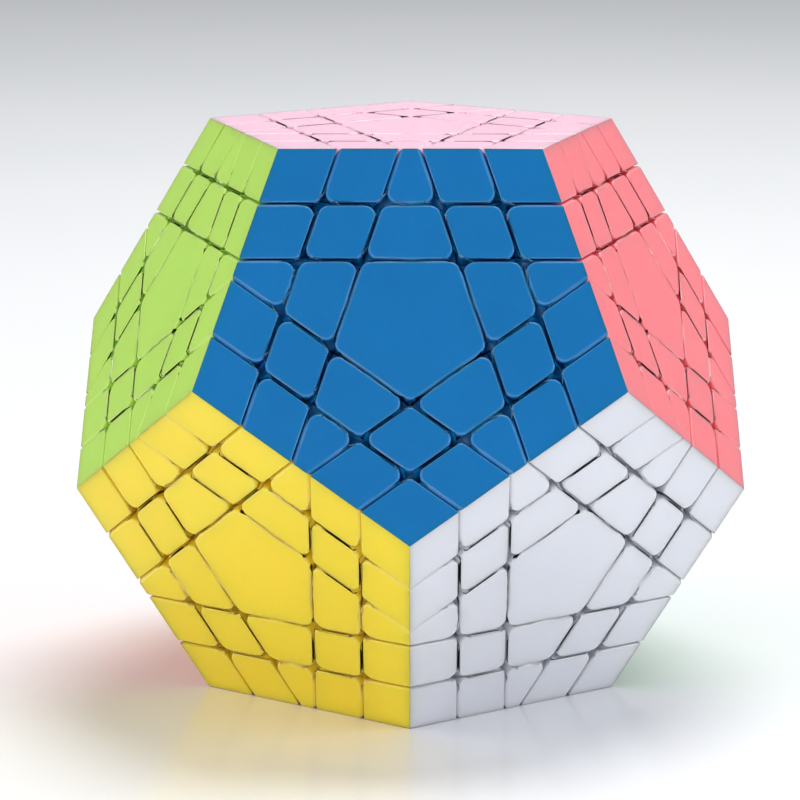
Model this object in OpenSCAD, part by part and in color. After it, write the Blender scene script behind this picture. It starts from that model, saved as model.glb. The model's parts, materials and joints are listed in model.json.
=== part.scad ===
// Dodecahedron twisty puzzle with two turning layers behind each of its twelve faces.
// Every outside piece is one or more coloured tiles pressed onto the stalk of a hidden foot.
// One surface of revolution, the layer envelope, bounds each turning layer from the outer face
// down to the core, so every tile and every foot is cut by the same twelve pairs of envelopes.

/* [Puzzle] */
// Length of one edge of the dodecahedron
edge_len = 47; // [42:0.5:56]
// Spacing of the two cuts, measured along an edge
layer_pitch = 10.9; // [9.6:0.1:11.2]
// Gap between two layers that slide on each other
cut_gap = 0.34; // [0.2:0.02:0.5]
// Radius of the rounded tile corners where two cuts cross
corner_round = 2; // [1:0.1:2.4]
// Depth to which those rounded corners run
corner_depth = 3; // [1.5:0.1:4]

/* [Feet] */
// Radius of the underside of every foot, from the centre of the puzzle
foot_under_r = 34.5; // [33:0.1:35.5]
// Radius where the feet end and the shoulders that hold them down begin
foot_top_r = 38; // [37:0.1:39]
// Radius of the top of every shoulder
shoulder_top_r = 41; // [40.2:0.1:42]
// Angle by which a foot reaches under the shoulder beside it
foot_hook = 3.2; // [2:0.1:3.6]
// Radius of the stalk of a corner piece
corner_stalk_r = 1.8; // [1.2:0.1:1.9]
// Radius of the stalk of a middle edge piece
mid_stalk_r = 2.2; // [1.4:0.1:2.6]
// Radius of the stalk of every other piece
stalk_r = 1.9; // [1.4:0.1:2]
// Wall left between the end of a stalk socket and the outside of its tile
socket_wall = 1.8; // [1.2:0.1:2.2]
// Radius of the short pin between the foot and the neck of an inset or a wing
pin_r = 1.5; // [1.2:0.1:1.6]
// Play between a stalk and its socket, on the radius
socket_play = 0.05; // [0.02:0.01:0.12]
// Empty depth beyond the end of a stalk
socket_spare = 1; // [0.4:0.1:1.6]

/* [Centre stems] */
// Radius of the column of a centre stem
stem_r = 4.6; // [4.4:0.1:5]
// Depth to which a stem reaches into its centre tile
stem_socket_depth = 3; // [2:0.1:4]
// Half angle of the skirt that carries the feet from below
skirt_angle = 24; // [18:0.5:27]
// Thickness of that skirt
skirt_t = 2; // [1.4:0.1:2.6]
// Radius of the spring pocket inside a stem
pocket_r = 3.7; // [3.5:0.05:3.9]
// Distance of the pocket floor from the centre of the puzzle
pocket_floor = 28; // [26:0.5:29]

/* [Core] */
// Radius of the ball in the middle of the core
core_ball_r = 11; // [9:0.5:12]
// Radius of each of its twelve arms
core_arm_r = 4.4; // [3.8:0.1:5]
// Distance of an arm's end from the centre of the puzzle
core_arm_len = 20; // [18:0.5:22]
// Play between an arm's end and the stem that turns on it
stem_play = 0.2; // [0.1:0.05:0.4]

/* [Screws and springs] */
// Radius of a screw's shank
screw_r = 1.5; // [1.3:0.05:1.7]
// Distance of a screw's tip from the centre of the puzzle
screw_tip = 9; // [8:0.5:12]
// Radius of a screw's head
screw_head_r = 3.1; // [2.8:0.05:3.2]
// Height of a screw's head
screw_head_h = 2.2; // [1.6:0.1:2.4]
// Width of one slot of the cross recess in the head
recess_w = 0.8; // [0.6:0.05:1]
// Depth of the cross recess
recess_d = 1.2; // [0.8:0.1:1.4]
// Radius of a washer
washer_r = 3.3; // [3:0.05:3.4]
// Thickness of a washer
washer_t = 0.6; // [0.4:0.1:1]
// Play round a screw in its washer and its stem, on the radius
screw_play = 0.2; // [0.1:0.05:0.3]
// Play round a screw in the core, on the radius
thread_play = 0.04; // [0.02:0.01:0.08]
// Length of a spring as fitted
spring_len = 9; // [8:0.1:9.5]
// Radius of a spring, to the middle of its wire
spring_r = 2.6; // [2.4:0.05:2.8]
// Diameter of the spring wire
wire_d = 0.6; // [0.4:0.05:0.7]
// Number of turns in a spring
spring_turns = 4; // [3:1:5]

/* [Hidden] */
$fn = 64;
// Sides of a face, and the angle between two of them
sides = 5;
side_step = 360 / sides;
// Angle between the normals of two faces that share an edge
face_angle = atan(2);
// Angle from a face normal to the middle of an edge
edge_angle = face_angle / 2;
// Distance from the centre of a face to the middle of its sides, and to its corners
face_in_r = edge_len / (2 * tan(side_step / 2));
face_out_r = edge_len / (2 * sin(side_step / 2));
// Distance from the centre of the puzzle to a face
face_h = face_in_r / tan(edge_angle);
// Angle from a face normal to a vertex
vertex_angle = atan(face_out_r / face_h);
// Half of the gap, which each piece gives up on its own side of a cut
half_gap = cut_gap / 2;

// Cuts. Cut 1 is the outer one and cut 2 the inner one; index 0 of each list is unused.
// Depth of each cut under its face, and its distance from the centre of the puzzle
cut_depth = [for (m = [0:2]) m * layer_pitch * sin(side_step) * sin(face_angle)];
cut_h = [for (m = [0:2]) face_h - cut_depth[m]];
// Distance of its line on the next face from the middle of that face
line_u = [for (m = [0:2]) (cut_h[m] - face_h * cos(face_angle)) / sin(face_angle)];
// Half angle of the cone that carries the cut inwards from that line, and the wider cone at the feet
cone_angle = [for (m = [0:2]) acos(cut_h[m] / norm([face_h, line_u[m]]))];
foot_angle = [for (m = [0:2]) cone_angle[m] + foot_hook];
// Sizes of the envelopes beyond the puzzle on every side, and their blunt inner end
reach = 2 * face_h;
envelope_start = 15;

// Faces: colour name, colour, tilt of the normal from +Z, its azimuth, turn of side 0 about it
ring_tilt = face_angle;
FACES = [
    ["pink", "#f9b3cb", 0, -90, 0],
    ["blue", "#0a6fb5", ring_tilt, -90, 180],
    ["coral", "#fb5a63", ring_tilt, -90 + side_step, 180],
    ["cream", "#f6e7a8", ring_tilt, -90 + 2 * side_step, 180],
    ["grey", "#9a9ea6", ring_tilt, -90 + 3 * side_step, 180],
    ["lime", "#8fce2e", ring_tilt, -90 + 4 * side_step, 180],
    ["white", "#eceef4", 180 - ring_tilt, -90 + side_step / 2, 0],
    ["green", "#128a4a", 180 - ring_tilt, -90 + side_step * 3 / 2, 0],
    ["sky", "#5cc3ec", 180 - ring_tilt, 90, 0],
    ["orange", "#fb8a2c", 180 - ring_tilt, 90 + side_step, 0],
    ["yellow", "#fdd70f", 180 - ring_tilt, 90 + 2 * side_step, 0],
    ["purple", "#8a57b8", 180, 90 + side_step / 2, 0]
];
last_face = len(FACES) - 1;
// The three faces whose layers turn here; no two of them share a piece
TURNING = [1, 3, 9];
BODIES = [
    "front_outer", "front_second", "rear_outer", "rear_second", "side_outer", "side_second", "middle"
];
middle = len(BODIES) - 1;
// Normals closer than this belong to the same face, and tools overlap by this share of their size
same = 0.01;

// Directions
function about_z(a, v) = [v.x * cos(a) - v.y * sin(a), v.x * sin(a) + v.y * cos(a), v.z];
function about_y(a, v) = [v.x * cos(a) + v.z * sin(a), v.y, v.z * cos(a) - v.x * sin(a)];
function on_face(f, v) = about_z(FACES[f][3], about_y(FACES[f][2], about_z(FACES[f][4], v)));
function polar(azimuth, angle) = [sin(angle) * cos(azimuth), sin(angle) * sin(azimuth), cos(angle)];
function side_axis(k) = polar(k * side_step, face_angle);
function angle_to(a, b) = acos(a * b);
// Face on the other side of side k of face f
function beside(f, k) = [
    for (g = [0:last_face])
        if (norm(on_face(g, [0, 0, 1]) - on_face(f, side_axis(k))) < same) g
][0];
NEXT = [for (f = [0:last_face]) [for (k = [0:sides - 1]) beside(f, k)]];

// A kind of tile is named by its layer behind each of the five neighbouring faces, as seen from
// its own face: 0 for the outer layer, 1 for the second layer, 2 for neither.
EACH = [0:sides - 1];
function layers(a, la, b, lb) = [for (s = EACH) s == a ? la : s == b ? lb : 2];
CENTRE = layers(-1, 2, -1, 2);
SIDE_INSET = layers(0, 1, -1, 2);
CORNER_INSET = layers(0, 1, 1, 1);
MID_EDGE = layers(0, 0, -1, 2);
RIGHT_WING = layers(0, 0, 1, 1);
LEFT_WING = layers(0, 0, sides - 1, 1);
CORNER = layers(0, 0, 1, 0);
// A tile is [kind, turns about the middle of its face]
function round_face(kinds) = [for (kind = kinds, k = EACH) [kind, k]];
STALKED = [SIDE_INSET, CORNER_INSET, MID_EDGE, RIGHT_WING, LEFT_WING, CORNER];
TILES = concat([[CENTRE, 0]], round_face(STALKED));

// Sides of the face whose layer a tile is in
function own(t) = [for (s = EACH) if (t[s] < 2) s];
// Sides whose cuts bound a tile: its own, and those beside its only one
function next_to(s, k) = (s - k + sides) % sides == 1 || (k - s + sides) % sides == 1;
function bounds(t, s) = t[s] < 2 || len(own(t)) == 0 || (len(own(t)) == 1 && next_to(s, own(t)[0]));
// Layer of tile t of face f behind the face on its side k, and behind any face g
function layer_at(t, k) = t[0][(k - t[1] + sides) % sides];
function layer(f, t, g) = f == g ? 0 : min(concat([2], [for (k = EACH) if (NEXT[f][k] == g) layer_at(t, k)]));
// Body that turns a tile
function body_of(f, t) = concat(
    [for (i = [0:len(TURNING) - 1]) if (layer(f, t, TURNING[i]) < 2) 2 * i + layer(f, t, TURNING[i])],
    [middle]
)[0];
// A piece with tiles on several faces has one foot, drawn on the first of them
function first_face(f, t) = min(concat([f], [for (k = EACH) if (layer_at(t, k) == 0) NEXT[f][k]])) == f;

// Stalks
second_angle = (cone_angle[1] + cone_angle[2]) / 2;
edge_far_angle = 90 - edge_angle;
middle_of_edge = polar(0, edge_angle);
along_edge = polar(90, 90);
function on_edge(angle) = cos(angle) * middle_of_edge + sin(angle) * along_edge;
// Middle of an inset or a wing, shifted away from the faces whose second layers it is in
function second_dir(t, shift) =
    let (wing_angle = edge_far_angle - second_angle - shift)
    t == SIDE_INSET ? polar(0, face_angle - second_angle - shift)
    : t == RIGHT_WING ? on_edge(wing_angle)
    : t == LEFT_WING ? on_edge(-wing_angle)
    : polar(side_step / 2, edge_far_angle - acos(cos(second_angle + shift) / cos(edge_angle)));
function stalk_dir(t) =
    t == MID_EDGE ? middle_of_edge
    : t == CORNER ? polar(side_step / 2, vertex_angle)
    : second_dir(t, 0);
function stalk_radius(t) = t == CORNER ? corner_stalk_r : t == MID_EDGE ? mid_stalk_r : stalk_r;
// A socket stops a wall short of the outside of its tile
function stop_before(h, angle, r) = (h - socket_wall - r * sin(angle)) / cos(angle);
function socket_end(t) =
    let (d = stalk_dir(t), r = stalk_radius(t) + socket_play)
    min(concat(
        [stop_before(face_h, angle_to(d, [0, 0, 1]), r)],
        [for (s = EACH) if (t[s] == 1) stop_before(cut_h[1] - half_gap, angle_to(d, side_axis(s)), r)]
    ));
stalk_start = (foot_top_r + shoulder_top_r) / 2;
// Half angle of the blank that the foot of a middle edge piece is cut from
mid_blank = 16;
// Half angle of the second layer, which the feet and necks of its pieces fill
second_half = (cone_angle[2] - cone_angle[1]) / 2;
// Where the pin that joins such a foot to its neck starts
pin_start = (foot_under_r + foot_top_r) / 2;

// Fastening
washer_z = pocket_floor + spring_len;
screw_head_z = washer_z + washer_t;
tile_under = cut_h[1] + half_gap;
stem_top = tile_under + stem_socket_depth;
stem_foot = core_arm_len + stem_play;
// An arm starts inside the ball, clear of the arms beside it
arm_root = core_ball_r - core_arm_r / 2;

// Nodes
function tiles_of(b, f) = [for (t = TILES) if (body_of(f, t) == b) t];
function tile_node(b, f) = str(BODIES[b], "_", FACES[f][0], "_tiles");
function feet_node(b) = str(BODIES[b], "_feet");
TILE_NODES = [for (b = [0:middle], f = [0:last_face]) if (len(tiles_of(b, f)) > 0) [b, f]];
// The middle's feet are a node for each kind of piece
MIDDLE_FEET = [
    ["middle_corner_feet", [CORNER]],
    ["middle_wing_feet", [RIGHT_WING, LEFT_WING]],
    ["middle_mid_edge_feet", [MID_EDGE]],
    ["middle_inset_feet", [SIDE_INSET, CORNER_INSET]]
];
// Centre stems: node name and the faces whose stems it holds
STEMS = concat(
    [for (i = [0:len(TURNING) - 1]) [str(BODIES[2 * i], "_centre_stem"), [TURNING[i]]]],
    [["middle_centre_stems", [for (f = [0:last_face]) if (len(search(f, TURNING)) == 0) f]]]
);

// Puts a shape drawn round the centre of the puzzle, with face f upwards, in its place
module face(f) {
    translate([0, 0, face_h]) rotate([0, FACES[f][2], FACES[f][3]]) rotate(FACES[f][4]) children();
}

// Points +Z along a direction
module along(d) {
    rotate([0, acos(d.z), atan2(d.y, d.x)]) children();
}

// Half width at height z of a cone about +Z that is grown outwards by c
function cone_r(angle, c, z) = z * tan(angle) + c / cos(angle);

// Outline of that cone up to height z
module wedge(angle, c, z) {
    polygon([
        [0, envelope_start],
        [cone_r(angle, c, envelope_start), envelope_start],
        [cone_r(angle, c, z), z],
        [0, z]
    ]);
}

// Everything in the layers down to cut m behind the +Z face, grown by c. Its outside is the plane
// of the cut, then a cone inwards from the cut's line on the next face, then a wider cone below
// the sphere where the feet begin.
module envelope(m, c) {
    plane_z = cut_h[m] - c;
    rotate_extrude() {
        intersection() {
            circle(r = foot_top_r + c);
            wedge(foot_angle[m], c, foot_top_r);
        }
        polygon([
            [0, envelope_start],
            [cone_r(cone_angle[m], c, envelope_start), envelope_start],
            [cone_r(cone_angle[m], c, plane_z), plane_z],
            [reach, plane_z],
            [reach, plane_z + reach],
            [0, plane_z + reach]
        ]);
    }
}
module beyond(k, m, c) {
    along(side_axis(k)) envelope(m, c);
}

// Tools that round the corners of a tile's outline where two cuts cross. Each bounding line is
// [cut, which side of it the tile is on].
function lines(level) = level == 0 ? [[1, 1]] : level == 1 ? [[2, 1], [1, -1]] : [[2, -1]];
function line_at(l, inwards) = line_u[l[0]] + l[1] * (half_gap / sin(face_angle) + inwards);
function crossing(s, a, b) =
    let (c = cos(side_step), x = (a - c * b) / (1 - c * c), y = (b - c * a) / (1 - c * c))
    x * [cos(s * side_step), sin(s * side_step)]
    + y * [cos((s + 1) * side_step), sin((s + 1) * side_step)];
module corner_tools(t) {
    for (s = EACH) if (bounds(t, s) && bounds(t, (s + 1) % sides))
        for (a = lines(t[s]), b = lines(t[(s + 1) % sides])) {
            tip = crossing(s, line_at(a, 0), line_at(b, 0));
            arc = crossing(s, line_at(a, corner_round), line_at(b, corner_round));
            difference() {
                polygon([
                    2 * tip - arc,
                    arc - a[1] * corner_round * [cos(s * side_step), sin(s * side_step)],
                    arc,
                    arc - b[1] * corner_round * [cos((s + 1) * side_step), sin((s + 1) * side_step)]
                ]);
                translate(arc) circle(r = corner_round * (1 + same));
            }
        }
}

// What is left of a shape inside the layers that tile t turns with, taking one side at a time
function rest(list) = [for (i = [1:1:len(list) - 1]) list[i]];
module within_layers(t, left) {
    if (len(left) == 0)
        children();
    else
        intersection() {
            within_layers(t, rest(left)) children();
            beyond(left[0], t[left[0]] + 1, -half_gap);
        }
}

// What is left of it outside the layers that bound tile t, taking one side at a time
function trimmed_by(t) = [for (s = EACH) if (t[s] > 0 && bounds(t, s)) s];
module outside_layers(t, left) {
    if (len(left) == 0)
        children();
    else
        difference() {
            outside_layers(t, rest(left)) children();
            beyond(left[0], t[left[0]], half_gap);
        }
}

// Cuts away what lies beyond the edge at side k, where the next face's tile of the same piece is
module across_edge(k) {
    rotate([0, edge_angle, k * side_step]) translate([0, -reach / 2, 0]) cube([reach, reach, reach]);
}

// One tile, face upwards: a block as deep as the outer layer, cut out by its envelopes. The socket
// is turned, so that the seam of its wall misses the plane of symmetry of the tile.
module tile(t) {
    difference() {
        difference() {
            outside_layers(t, trimmed_by(t)) within_layers(t, own(t))
                translate([0, 0, tile_under]) linear_extrude(face_h - tile_under)
                    rotate(side_step / 2) circle(r = face_out_r, $fn = sides);
            for (s = EACH) if (t[s] == 0) across_edge(s);
        }
        translate([0, 0, face_h - corner_depth]) linear_extrude(2 * corner_depth) corner_tools(t);
        if (t == CENTRE)
            cylinder(h = stem_top + socket_spare, r = stem_r + socket_play);
        else
            along(stalk_dir(t)) rotate(side_step)
                cylinder(h = socket_end(t), r = stalk_radius(t) + socket_play);
    }
}

// Piece of the shell that holds all feet, wide enough for one of them
module foot_blank(half_angle) {
    rotate_extrude() difference() {
        intersection() {
            circle(r = shoulder_top_r);
            wedge(half_angle, 0, shoulder_top_r);
        }
        circle(r = foot_under_r);
    }
}

// Round foot of a corner piece: its neck clears the three cones round it, and its rim reaches
// under the shoulders beside it
module corner_foot() {
    rotate_extrude() difference() {
        union() {
            intersection() {
                circle(r = shoulder_top_r);
                wedge(cone_angle[1] - vertex_angle, -half_gap, shoulder_top_r);
            }
            intersection() {
                circle(r = foot_top_r - half_gap);
                wedge(foot_angle[1] - vertex_angle, -half_gap, foot_top_r);
            }
        }
        circle(r = foot_under_r);
    }
}

// Disc that fills the second layer between two distances from the centre of the puzzle
module disc(low, high) {
    top = high * cos(second_half);
    translate([0, 0, low])
        cylinder(
            h = top - low,
            r1 = cone_r(second_half, -half_gap, low),
            r2 = cone_r(second_half, -half_gap, top)
        );
}

// Foot, pin and neck of an inset or a wing. The foot is shifted by the hook, so that its rim is
// under the shoulders beside it, and the neck is a shoulder for the feet on its other side.
module disc_foot(t) {
    along(second_dir(t, foot_hook)) disc(foot_under_r, foot_top_r - half_gap);
    along(second_dir(t, foot_hook / 2)) translate([0, 0, pin_start])
        cylinder(h = stalk_start - pin_start, r = pin_r);
    along(stalk_dir(t)) disc(foot_top_r + half_gap, shoulder_top_r);
}

// Foot and shoulder of a middle edge piece: the part of the shell that its envelopes leave it
module mid_edge_foot() {
    outside_layers(MID_EDGE, trimmed_by(MID_EDGE)) within_layers(MID_EDGE, own(MID_EDGE))
        intersection() {
            along(middle_of_edge) foot_blank(mid_blank);
            envelope(1, -half_gap);
        }
}

// The foot, shoulder and stalk of one piece, in the frame of a face that holds a tile of it
module foot(t) {
    if (t == CORNER)
        along(stalk_dir(t)) corner_foot();
    else if (t == MID_EDGE)
        mid_edge_foot();
    else
        disc_foot(t);
    along(stalk_dir(t)) translate([0, 0, stalk_start])
        cylinder(h = socket_end(t) - socket_spare - stalk_start, r = stalk_radius(t));
}

// Tiles of face f that turn with body b
module tiles(b, f) {
    color(FACES[f][1]) for (t = tiles_of(b, f)) face(f) rotate(t[1] * side_step) tile(t[0]);
}

// Feet of the pieces of some kinds that turn with body b
module feet(b, kinds) {
    color("#2b2d31") for (f = [0:last_face], t = round_face(kinds))
        if (body_of(f, t) == b && first_face(f, t)) face(f) rotate(t[1] * side_step) foot(t[0]);
}

// Column that turns under a centre tile, with the flanges that hold the feet beside it in place
module centre_stem() {
    rotate_extrude() difference() {
        union() {
            translate([0, stem_foot]) square([stem_r, stem_top - stem_foot]);
            difference() {
                intersection() {
                    circle(r = shoulder_top_r);
                    wedge(face_angle - cone_angle[2], -half_gap, shoulder_top_r);
                }
                circle(r = foot_top_r + half_gap);
            }
            intersection() {
                circle(r = foot_top_r + half_gap);
                wedge(face_angle - foot_angle[2], -half_gap, foot_top_r + half_gap);
                translate([0, foot_under_r - skirt_t]) square([reach, reach]);
            }
            difference() {
                intersection() {
                    circle(r = foot_under_r - cut_gap);
                    wedge(skirt_angle, 0, foot_under_r);
                }
                circle(r = foot_under_r - cut_gap - skirt_t);
            }
        }
        square([screw_r + screw_play, reach]);
        translate([0, pocket_floor]) square([pocket_r, reach]);
    }
}
module centre_stems(faces) {
    color("#3a3d42") for (f = faces) face(f) centre_stem();
}

module core() {
    color("#4a4d52") difference() {
        union() {
            translate([0, 0, face_h]) sphere(core_ball_r);
            for (f = [0:last_face]) face(f) translate([0, 0, arm_root])
                cylinder(h = core_arm_len - arm_root, r = core_arm_r);
        }
        for (f = [0:last_face]) face(f) translate([0, 0, screw_tip - screw_play])
            cylinder(h = core_arm_len, r = screw_r + thread_play);
    }
}

module screw() {
    translate([0, 0, screw_tip]) cylinder(h = screw_head_z - screw_tip, r = screw_r);
    difference() {
        translate([0, 0, screw_head_z]) cylinder(h = screw_head_h, r = screw_head_r);
        for (turn = [0, 90]) rotate(turn)
            translate([-screw_head_r * 2 / 3, -recess_w / 2, screw_head_z + screw_head_h - recess_d])
                cube([screw_head_r * 4 / 3, recess_w, 2 * recess_d]);
    }
}
module screws() {
    color("#b8bcc2") for (f = [0:last_face]) face(f) screw();
}

// A coil of round wire as one swept tube, resting in its pocket and under its washer
module spring() {
    steps = 8;
    wire_sides = 4;
    rings = spring_turns * steps;
    rise = spring_len - wire_d;
    ring = function(i) [
        for (j = [0:wire_sides - 1])
            let (a = i * 360 / steps, b = j * 360 / wire_sides, r = spring_r + wire_d / 2 * cos(b))
            [r * cos(a), r * sin(a), pocket_floor + wire_d / 2 + rise * i / rings + wire_d / 2 * sin(b)]
    ];
    points = [for (i = [0:rings]) each ring(i)];
    walls = [
        for (i = [0:rings - 1], j = [0:wire_sides - 1])
            let (n = (j + 1) % wire_sides, low = i * wire_sides, up = low + wire_sides)
            each [[low + j, up + j, up + n], [low + j, up + n, low + n]]
    ];
    start_cap = [for (j = [0:wire_sides - 1]) j];
    end_cap = [for (j = [wire_sides - 1:-1:0]) rings * wire_sides + j];
    polyhedron(points, concat(walls, [start_cap, end_cap]));
}
module springs() {
    color("#d2d5d9") for (f = [0:last_face]) face(f) spring();
}

module washers() {
    color("#a9adb3") for (f = [0:last_face]) face(f) translate([0, 0, washer_z]) difference() {
        cylinder(h = washer_t, r = washer_r);
        translate([0, 0, -washer_t]) cylinder(h = 3 * washer_t, r = screw_r + screw_play);
    }
}

for (n = TILE_NODES) tiles(n[0], n[1]);
for (b = [0:middle - 1]) feet(b, STALKED);
for (n = MIDDLE_FEET) feet(middle, n[1]);
for (n = STEMS) centre_stems(n[1]);
core();
screws();
springs();
washers();
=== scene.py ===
# %% [markdown]
# A dodecahedron twisty puzzle. Every colour you see is plastic that was coloured before it was
# moulded: each flat tile is a piece of its own, clipped to a dark foot that slides inside. The CAD
# model holds every tile, foot, screw and spring at its true size, and this lesson gives them their
# looks. Nothing here moves a CAD part: what needs softer edges is copied, the rest is dressed.

# %% Load the frame
import json
import math

import bmesh
import bpy
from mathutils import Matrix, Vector


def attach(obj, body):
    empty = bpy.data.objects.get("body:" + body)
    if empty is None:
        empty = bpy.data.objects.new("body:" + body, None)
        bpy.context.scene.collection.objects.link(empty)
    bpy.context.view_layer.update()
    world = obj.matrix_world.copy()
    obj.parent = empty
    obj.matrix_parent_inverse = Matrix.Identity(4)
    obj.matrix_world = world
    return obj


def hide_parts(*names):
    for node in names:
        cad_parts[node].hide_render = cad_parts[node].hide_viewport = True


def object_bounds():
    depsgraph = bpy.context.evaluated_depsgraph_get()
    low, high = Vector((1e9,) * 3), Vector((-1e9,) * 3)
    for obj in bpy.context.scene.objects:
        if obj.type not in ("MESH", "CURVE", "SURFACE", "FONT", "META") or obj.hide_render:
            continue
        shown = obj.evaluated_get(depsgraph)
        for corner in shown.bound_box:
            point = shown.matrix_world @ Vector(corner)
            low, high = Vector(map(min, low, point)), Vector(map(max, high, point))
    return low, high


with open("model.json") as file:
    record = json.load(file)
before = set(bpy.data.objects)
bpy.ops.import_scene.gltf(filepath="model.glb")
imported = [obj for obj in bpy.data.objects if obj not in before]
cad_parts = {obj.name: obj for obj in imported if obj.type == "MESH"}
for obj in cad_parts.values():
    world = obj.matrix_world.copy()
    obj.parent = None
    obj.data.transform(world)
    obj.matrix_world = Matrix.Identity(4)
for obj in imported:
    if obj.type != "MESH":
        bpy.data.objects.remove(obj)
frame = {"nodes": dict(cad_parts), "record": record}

cad_low, cad_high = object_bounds()
print("CAD box, mm:", [round(1000 * n, 2) for n in (cad_high - cad_low)])

# %% [markdown]
# The twelve faces. A regular dodecahedron stands on one face, and its normals come in four tiers:
# straight up, five leaning up, five leaning down and straight down. Two faces that share an edge
# have normals atan(2) apart, so the whole solid follows from that one angle and its height. We
# need the normals to know which side of a tile is the polished outside.

# %% The twelve face normals
height = cad_high.z - cad_low.z
face_distance = height / 2
centre = Vector((0, 0, face_distance))
lean = math.atan(2)


def leaning(tilt, azimuth):
    turn = math.radians(azimuth)
    return Vector((math.sin(tilt) * math.cos(turn), math.sin(tilt) * math.sin(turn), math.cos(tilt)))


normals = [leaning(0, 0), leaning(math.pi, 0)]
normals += [leaning(lean, -90 + 72 * k) for k in range(5)]
normals += [leaning(math.pi - lean, -54 + 72 * k) for k in range(5)]
print(len(normals), "faces,", round(2000 * face_distance, 2), "mm between opposite ones")

# %% [markdown]
# Each tile node holds the tiles of one colour that turn with one layer. The CAD leaves their edges
# knife sharp, which no mould can do: here each edge gets a soft round of just under half a
# millimetre, and it is that round that catches the light and draws the grid on each face. One
# could fake it in the shader with a Bevel node, but it vanishes on export, so the edges are
# really bevelled on a copy of the mesh.

# %% Sizes of the soft edges, in metres, and the angles that sort them
round_size = 0.00046
round_segments = 4
seam_size = 0.00011
on_plane = 0.00003
flat_enough = math.radians(0.4)
rim_depth = 0.0007
rim_flat_enough = math.radians(9)
same_point = 0.000002
on_cut = 0.0000005
facing_out = 0.999
sharp_from = math.radians(35)


def planes_through(point):
    """The faces of the dodecahedron that a point lies on."""
    return [n for n in normals if abs((point - centre).dot(n) - face_distance) < on_plane]


# %% [markdown]
# A tile's outline is of two kinds. Where it faces another tile across a gap, the mould rounds it
# well over. Where it meets the next face's tile of the same piece, the two are pressed together
# on the puzzle's own edge, and only a hairline shows. So the outline is sorted into rounds and
# seams, and the seams get a bevel of their own, about a quarter of the size.


# %% Sort the outline of the outer faces
def outline(bm):
    """Edges round the outer faces, as (rounds, seams)."""
    rounds, seams = [], []
    for edge in bm.edges:
        start, end = (planes_through(vert.co) for vert in edge.verts)
        shared = [n for n in start if n in end]
        if len(edge.link_faces) != 2 or not shared:
            continue
        outside = [
            face for face in edge.link_faces
            if max(face.normal.dot(n) for n in shared) > facing_out
        ]
        if len(outside) == 1:
            (seams if len(shared) > 1 else rounds).append(edge)
    return rounds, seams


# %% [markdown]
# The bevelled ring is also where fingers wear the plastic, so each new corner is marked in a
# vertex attribute named wear, which the material reads to lighten it a little. An
# attribute travels with the mesh, which a hand-placed mask would not.
#
# A bevel is only as even as the walls it slides down. The CAD walls are cones cut into slivers, so
# each tile is first cut through a hair below its outside, and the slivers of that narrow rim are
# dissolved into one band for the bevel to slide on. The result has a fault that is not mended:
# measured against the CAD, every shell stands outside its tile in places by more than the gap,
# up to 0.7 mm, so shells of neighbouring layers intersect there, at rest and when turned.


# %% Make one piece of soft tiles from a CAD node
def soften(bm, edges, size, segments):
    made = bmesh.ops.bevel(
        bm, geom=edges, offset=size, offset_type="OFFSET", affect="EDGES",
        segments=segments, profile=0.5, material=-1, clamp_overlap=False,
    )
    return made["verts"]


def face_of(mesh):
    """The normal of the dodecahedron face that most of a node's corners lie on."""
    counts = [sum(n in planes_through(vert.co) for vert in mesh.vertices) for n in normals]
    return normals[counts.index(max(counts))]


def join_slivers(bm, normal):
    bmesh.ops.remove_doubles(bm, verts=bm.verts, dist=same_point)
    bmesh.ops.dissolve_limit(bm, angle_limit=flat_enough, verts=bm.verts, edges=bm.edges)
    cut_height = face_distance - rim_depth
    bmesh.ops.bisect_plane(
        bm, geom=bm.verts[:] + bm.edges[:] + bm.faces[:], dist=on_cut,
        plane_co=centre + normal * cut_height, plane_no=normal,
    )

    def level(vert):
        return (vert.co - centre).dot(normal)

    rim = [
        edge for edge in bm.edges
        if min(level(v) for v in edge.verts) > cut_height - on_plane
        and min(level(v) for v in edge.verts) < face_distance - on_plane
        and max(level(v) for v in edge.verts) > cut_height + on_plane
    ]
    bmesh.ops.dissolve_limit(bm, angle_limit=rim_flat_enough, verts=[], edges=rim)


def soft_tiles(node_name):
    mesh = frame["nodes"][node_name].data.copy()
    bm = bmesh.new()
    bm.from_mesh(mesh)
    join_slivers(bm, face_of(mesh))
    wear = bm.verts.layers.float.new("wear")
    rounds, _ = outline(bm)
    worn = soften(bm, rounds, round_size, round_segments)
    _, seams = outline(bm)
    soften(bm, seams, seam_size, 1)
    for vert in worn:
        if vert.is_valid and not planes_through(vert.co):
            vert[wear] = 1.0
    for face in bm.faces:
        face.smooth = True
    bm.to_mesh(mesh)
    bm.free()
    mesh.set_sharp_from_angle(angle=sharp_from)
    piece = bpy.data.objects.new(node_name.replace("_tiles", "_shells"), mesh)
    bpy.context.collection.objects.link(piece)
    weighted = piece.modifiers.new("even shading", "WEIGHTED_NORMAL")
    weighted.keep_sharp = True
    return piece


# %% [markdown]
# Materials come next. Satin moulded plastic has four things to show: a colour that runs a hair
# darker and lighter where the granules flowed, a fine orange-peel skin from the mould, a little
# light that travels inside before it leaves, and scuffs where it is handled. Each gets one node
# or two, all on Object coordinates, so that the pattern stays with the tile when it turns.


# %% Small helpers for building a material
def new_material(name):
    material = bpy.data.materials.new(name)
    material.use_nodes = True
    tree = material.node_tree
    tree.nodes.clear()
    shader = tree.nodes.new("ShaderNodeBsdfPrincipled")
    output = tree.nodes.new("ShaderNodeOutputMaterial")
    tree.links.new(shader.outputs["BSDF"], output.inputs["Surface"])
    place = tree.nodes.new("ShaderNodeTexCoord").outputs["Object"]
    return material, tree, shader, place


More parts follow.
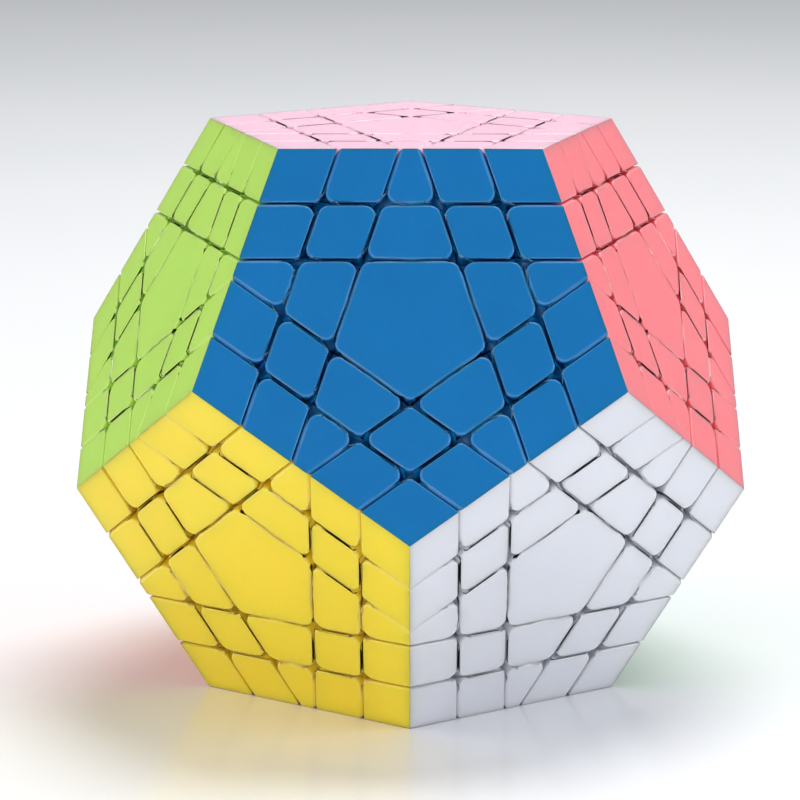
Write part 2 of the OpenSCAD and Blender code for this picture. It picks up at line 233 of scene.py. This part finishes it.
def noise(tree, place, scale, detail=2.0, roughness=0.5):
    node = tree.nodes.new("ShaderNodeTexNoise")
    node.inputs["Scale"].default_value = scale
    node.inputs["Detail"].default_value = detail
    node.inputs["Roughness"].default_value = roughness
    tree.links.new(place, node.inputs["Vector"])
    return node.outputs["Fac"]


def spread(tree, value, low, high, start=0.3, end=0.7):
    """Maps a noise value onto the range from low to high."""
    node = tree.nodes.new("ShaderNodeMapRange")
    node.inputs["From Min"].default_value = start
    node.inputs["From Max"].default_value = end
    node.inputs["To Min"].default_value = low
    node.inputs["To Max"].default_value = high
    tree.links.new(value, node.inputs["Value"])
    return node.outputs["Result"]


def blend_colour(tree, amount, first, second):
    node = tree.nodes.new("ShaderNodeMix")
    node.data_type = "RGBA"
    tree.links.new(amount, node.inputs["Factor"])
    for socket, colour in ((node.inputs[6], first), (node.inputs[7], second)):
        if isinstance(colour, tuple):
            socket.default_value = (*colour, 1)
        else:
            tree.links.new(colour, socket)
    return node.outputs[2]


def bump(tree, shader, value, strength, depth):
    node = tree.nodes.new("ShaderNodeBump")
    node.inputs["Strength"].default_value = strength
    node.inputs["Distance"].default_value = depth
    tree.links.new(value, node.inputs["Height"])
    tree.links.new(node.outputs["Normal"], shader.inputs["Normal"])


# %% Colours are chosen as they look on a screen, and Blender counts in linear light
def linear(code):
    channels = [int(code[k : k + 2], 16) / 255 for k in (1, 3, 5)]
    return tuple(c / 12.92 if c < 0.04045 else ((c + 0.055) / 1.055) ** 2.4 for c in channels)


def scaled(colour, share):
    return tuple(min(1.0, c * share) for c in colour)


def towards(colour, other, share):
    return tuple(c + (o - c) * share for c, o in zip(colour, other))


# %% Coloured tile plastic
def tile_plastic(name, code):
    colour = linear(code)
    material, tree, shader, place = new_material(name)
    flow = spread(tree, noise(tree, place, scale=45, detail=3), low=0, high=1)
    body = blend_colour(tree, flow, scaled(colour, 0.97), scaled(colour, 1.03))
    fine_grain = noise(tree, place, scale=1900, detail=1)
    specks = spread(tree, fine_grain, low=0, high=0.12, start=0.74, end=0.82)
    dusted = blend_colour(tree, specks, body, towards(colour, (1, 1, 1), 0.3))
    worn = tree.nodes.new("ShaderNodeAttribute")
    worn.attribute_name = "wear"
    rubbed = tree.nodes.new("ShaderNodeMath")
    rubbed.operation = "MULTIPLY"
    tree.links.new(worn.outputs["Fac"], rubbed.inputs[0])
    patches = noise(tree, place, scale=220, detail=4)
    tree.links.new(spread(tree, patches, low=0.1, high=0.34), rubbed.inputs[1])
    skin = blend_colour(tree, rubbed.outputs[0], dusted, towards(colour, (1, 1, 1), 0.22))
    tree.links.new(skin, shader.inputs["Base Color"])
    long_way = tree.nodes.new("ShaderNodeMapping")
    long_way.inputs["Rotation"].default_value = (0.5, 0.3, 0.8)
    long_way.inputs["Scale"].default_value = (1, 5, 2)
    tree.links.new(place, long_way.inputs["Vector"])
    scuffs = noise(tree, long_way.outputs["Vector"], scale=90, detail=4, roughness=0.55)
    tree.links.new(spread(tree, scuffs, low=0.3, high=0.34), shader.inputs["Roughness"])
    shader.inputs["Subsurface Weight"].default_value = 0.6
    shader.inputs["Subsurface Radius"].default_value = tuple(0.15 + c for c in colour)
    shader.inputs["Subsurface Scale"].default_value = 0.005
    shader.inputs["IOR"].default_value = 1.5
    shader.inputs["Specular IOR Level"].default_value = 0.35
    peel = noise(tree, place, scale=900, detail=2)
    bump(tree, shader, peel, strength=0.05, depth=0.00003)
    return material


COLOURS = {
    "pink": "#fdbfd6", "blue": "#007abe", "coral": "#fd7c84", "cream": "#f6e6a6",
    "grey": "#8d929a", "lime": "#b0dc55", "white": "#d9dce6", "green": "#0b8a48",
    "sky": "#4cbfec", "orange": "#fb8a2c", "yellow": "#ffd93a", "purple": "#8450b8",
}
plastics = {name: tile_plastic(name + " tile plastic", code) for name, code in COLOURS.items()}
print(len(plastics), "tile colours")

# %% [markdown]
# Now every tile node is softened and gets the plastic of its colour. The colour is the last word
# but one of the node's name, and the body it rides on is the one the CAD gave it. The new piece
# stands for the CAD node, which stays in the model for its collision.

# %% Make the forty-two tile pieces
total = 0
for body, nodes in frame["record"]["behaviour"]["bodies"].items():
    for node_name in nodes:
        if not node_name.endswith("_tiles"):
            continue
        colour_name = node_name.split("_")[-2]
        piece = soft_tiles(node_name)
        piece.data.materials.clear()
        piece.data.materials.append(plastics[colour_name])
        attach(piece, body)
        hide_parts(node_name)
        total += len(piece.data.polygons)
print("soft tile pieces have", total, "polygons together")

# %% [markdown]
# The feet, stems and core are hidden when the puzzle is whole, and show through the small holes
# where four tiles meet and whenever a layer is part turned. Their shapes come straight from the
# CAD. They are moulded in a dark acetal, which is slippery and a little waxy.


# %% Dark bearing plastic for feet, stems and core
def bearing_plastic(name, code, roughness):
    colour = linear(code)
    material, tree, shader, place = new_material(name)
    cloud = spread(tree, noise(tree, place, scale=80, detail=3), low=0, high=1)
    base = blend_colour(tree, cloud, scaled(colour, 0.85), scaled(colour, 1.15))
    tree.links.new(base, shader.inputs["Base Color"])
    grain = noise(tree, place, scale=1400, detail=3)
    dull = spread(tree, grain, low=roughness - 0.06, high=roughness + 0.06)
    tree.links.new(dull, shader.inputs["Roughness"])
    shader.inputs["IOR"].default_value = 1.48
    bump(tree, shader, grain, strength=0.15, depth=0.00003)
    return material


# %% [markdown]
# The screws, washers and springs are steel. Turned and drawn metal shows fine lines along the way
# it was worked, so a stretched noise drives both its roughness and a very shallow bump.


# %% Steel for screws, washers and springs
def worked_steel(name, code, stretch):
    colour = linear(code)
    material, tree, shader, place = new_material(name)
    lines = tree.nodes.new("ShaderNodeMapping")
    lines.inputs["Scale"].default_value = stretch
    tree.links.new(place, lines.inputs["Vector"])
    drawn = noise(tree, lines.outputs["Vector"], scale=900, detail=4)
    streaks = spread(tree, drawn, low=0, high=1)
    base = blend_colour(tree, streaks, scaled(colour, 0.8), colour)
    tree.links.new(base, shader.inputs["Base Color"])
    tree.links.new(spread(tree, drawn, low=0.22, high=0.4), shader.inputs["Roughness"])
    shader.inputs["Metallic"].default_value = 1
    bump(tree, shader, drawn, strength=0.1, depth=0.00002)
    return material


# %% Dress the inner parts
foot_finish = bearing_plastic("dark foot plastic", "#1f2124", 0.38)
stem_finish = bearing_plastic("dark stem plastic", "#2f3236", 0.42)
core_finish = bearing_plastic("grey core plastic", "#44474c", 0.5)
inner_finishes = {
    "core": core_finish,
    "screws": worked_steel("zinc plated steel", "#b8bcc2", (1, 1, 8)),
    "springs": worked_steel("drawn spring wire", "#d2d5d9", (1, 1, 3)),
    "washers": worked_steel("stamped steel", "#a9adb3", (1, 1, 1)),
}
dressed = 0
for node_name, cad_object in frame["nodes"].items():
    if node_name.endswith("_tiles"):
        continue
    finish = foot_finish if node_name.endswith("_feet") else stem_finish
    for material_slot in cad_object.material_slots:
        material_slot.material = inner_finishes.get(node_name, finish)
    dressed += 1
print(dressed, "inner nodes dressed")

# %% [markdown]
# The setting is a pale glossy table in soft light. A floor that curves up behind would hide the
# horizon, but a plain wide sheet and a pale sky give the same calm ground from every side. The
# floor is slightly polished, so the lowest faces leave a faint coloured reflection in it.


# %% Table
def pale_table():
    bm = bmesh.new()
    bmesh.ops.create_grid(bm, x_segments=1, y_segments=1, size=6.0)
    mesh = bpy.data.meshes.new("table")
    bm.to_mesh(mesh)
    bm.free()
    table = bpy.data.objects.new("table", mesh)
    bpy.context.collection.objects.link(table)
    material, tree, shader, place = new_material("pale table")
    tone = spread(tree, noise(tree, place, scale=3, detail=2), low=0, high=1)
    tree.links.new(
        blend_colour(tree, tone, linear("#f1f3f6"), linear("#f6f7f9")), shader.inputs["Base Color"]
    )
    shader.inputs["Roughness"].default_value = 0.22
    shader.inputs["IOR"].default_value = 1.45
    mesh.materials.append(material)


pale_table()


# %% Lights
def soft_light(name, place, aim, size, watts, tint):
    data = bpy.data.lights.new(name, "AREA")
    data.shape = "DISK"
    data.size = size
    data.energy = watts
    data.color = tint
    lamp = bpy.data.objects.new(name, data)
    bpy.context.collection.objects.link(lamp)
    lamp.location = place
    lamp.rotation_euler = (Vector(aim) - Vector(place)).to_track_quat("-Z", "Y").to_euler()
    return lamp


middle = (0, 0, face_distance)
soft_light(
    "window above", place=(0.2, 0.45, 1.2), aim=middle, size=0.9, watts=15, tint=(1.0, 0.99, 0.97)
)
soft_light(
    "low front fill", place=(-0.5, -1.3, 0.3), aim=middle, size=0.8, watts=5.0, tint=(1.0, 0.99, 0.97)
)
soft_light(
    "right side fill", place=(1.15, -0.25, 0.4), aim=middle, size=0.8, watts=5.6, tint=(1.0, 0.98, 0.96)
)
soft_light(
    "left side fill", place=(-1.15, 0.0, 0.4), aim=middle, size=0.8, watts=4.8, tint=(1.0, 1.0, 0.98)
)
world = bpy.data.worlds.new("pale room")
world.use_nodes = True
world.node_tree.nodes["Background"].inputs["Color"].default_value = (0.93, 0.96, 1.0, 1)
world.node_tree.nodes["Background"].inputs["Strength"].default_value = 0.4
bpy.context.scene.world = world

# %% [markdown]
# The camera looks almost straight at the front edge of the blue face, from a little above, as one
# holds a phone over a table. It stands about two thirds of a metre away with a long lens, so the
# puzzle keeps its proportions and the top face is a thin sliver.

# %% Camera
camera_data = bpy.data.cameras.new("front view")
camera_data.sensor_width = 36
camera_data.lens = 160.5
camera_data.clip_start = 0.01
camera_data.clip_end = 50
camera = bpy.data.objects.new("front view", camera_data)
bpy.context.collection.objects.link(camera)
azimuth, elevation, distance = math.radians(0.28), math.radians(11.5), 0.674
aim = Vector((-0.002, 0, 0.0526))
back = Vector((
    math.sin(azimuth) * math.cos(elevation),
    -math.cos(azimuth) * math.cos(elevation),
    math.sin(elevation),
))
camera.location = aim + back * distance
camera.rotation_euler = (-back).to_track_quat("-Z", "Y").to_euler()
bpy.context.scene.camera = camera
bpy.context.scene.view_settings.view_transform = "Standard"
